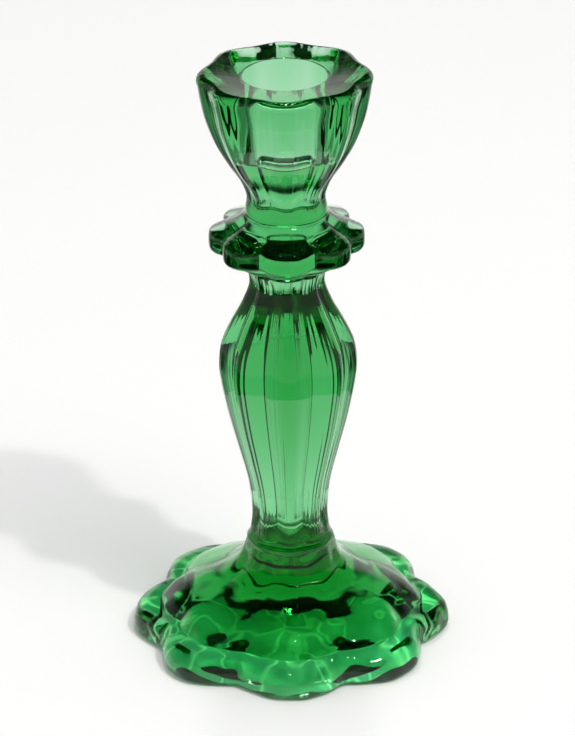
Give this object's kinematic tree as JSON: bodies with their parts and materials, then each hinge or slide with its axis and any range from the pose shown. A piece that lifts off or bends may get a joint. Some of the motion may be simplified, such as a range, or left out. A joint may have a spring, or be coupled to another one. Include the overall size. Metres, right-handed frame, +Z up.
{
  "type": "glass candlestick",
  "caption": "Pressed green glass candlestick with a scalloped foot, fluted baluster column, toothed drip collar and tulip cup with a socket for a dinner candle.",
  "frame": {"origin": "centre of the foot's underside, on the table", "axes": "+Z up along the candlestick's axis, out of the candle socket; a lobe of the foot points along -Y"},
  "size_m": [0.0898, 0.0898, 0.17],
  "materials": {
    "green_glass": "clear emerald green, fire-polished"
  },
  "bodies": {
    "root": {"foot": "green_glass", "base_ring": "green_glass", "column": "green_glass", "collar_step": "green_glass", "drip_collar": "green_glass", "neck_ring": "green_glass", "candle_cup": "green_glass"}
  },
  "joints": []
}
